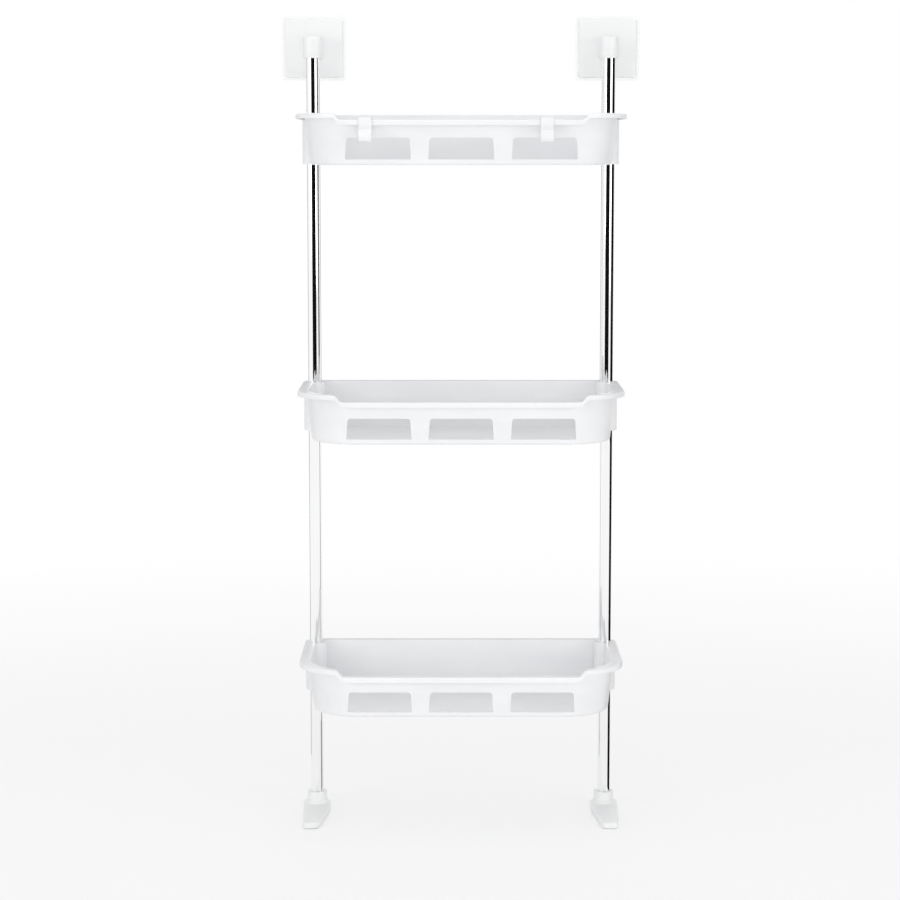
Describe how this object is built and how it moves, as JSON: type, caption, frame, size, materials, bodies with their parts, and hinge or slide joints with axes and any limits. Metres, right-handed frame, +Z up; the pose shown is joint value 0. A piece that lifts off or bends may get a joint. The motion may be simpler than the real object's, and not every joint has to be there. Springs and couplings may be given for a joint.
{
  "type": "over the toilet storage rack",
  "caption": "Free-standing over-toilet rack: steel tube uprights carry lipped baskets with windowed fronts, on tongue feet, with stick-on wall brackets and sliding rim hooks.",
  "frame": {"origin": "on the surface the feet stand on, below the middle of the rack's overall width and depth", "axes": "+X to the right as seen from the front, +Y towards the wall, +Z up along the uprights"},
  "size_m": [0.341, 0.1704, 0.7668],
  "materials": {
    "basket_plastic": "satin white moulded polypropylene",
    "tube_steel": "mirror polished stainless tube",
    "foot_plastic": "satin white moulded ABS",
    "pad_rubber": "soft pale grey non-slip pad",
    "bracket_plastic": "satin white moulded ABS",
    "adhesive_clear": "clear adhesive sheet",
    "hook_plastic": "satin white moulded plastic"
  },
  "bodies": {
    "rack": {"basket_bottom": "basket_plastic", "basket_middle": "basket_plastic", "basket_top": "basket_plastic", "tube_left_foot": "tube_steel", "tube_left_lower": "tube_steel", "tube_left_upper": "tube_steel", "tube_left_top": "tube_steel", "tube_right_foot": "tube_steel", "tube_right_lower": "tube_steel", "tube_right_upper": "tube_steel", "tube_right_top": "tube_steel"},
    "left_foot": {"foot_left": "foot_plastic", "foot_pad_left": "pad_rubber"},
    "right_foot": {"foot_right": "foot_plastic", "foot_pad_right": "pad_rubber"},
    "left_bracket": {"wall_bracket_left": "bracket_plastic", "adhesive_sheet_left": "adhesive_clear"},
    "right_bracket": {"wall_bracket_right": "bracket_plastic", "adhesive_sheet_right": "adhesive_clear"},
    "left_hook": {"hook_left": "hook_plastic"},
    "right_hook": {"hook_right": "hook_plastic"}
  },
  "joints": [
    {"name": "left_foot_turn", "type": "hinge", "parent": "rack", "child": "left_foot", "pos_m": [-0.14, 0.06115, 0], "axis": [0, 0, 1], "range_deg": [-90, 90]},
    {"name": "right_foot_turn", "type": "hinge", "parent": "rack", "child": "right_foot", "pos_m": [0.14, 0.06115, 0], "axis": [0, 0, 1], "range_deg": [-90, 90]},
    {"name": "left_bracket_turn", "type": "hinge", "parent": "rack", "child": "left_bracket", "pos_m": [-0.14, 0.06115, 0.7363], "axis": [0, 0, 1], "range_deg": [-90, 90]},
    {"name": "right_bracket_turn", "type": "hinge", "parent": "rack", "child": "right_bracket", "pos_m": [0.14, 0.06115, 0.7363], "axis": [0, 0, 1], "range_deg": [-90, 90]},
    {"name": "left_hook_slide", "type": "slide", "parent": "rack", "child": "left_hook", "axis": [1, 0, 0], "range_m": [-0.009, 0.079]},
    {"name": "right_hook_slide", "type": "slide", "parent": "rack", "child": "right_hook", "axis": [1, 0, 0], "range_m": [-0.0695, 0.0185]}
  ]
}
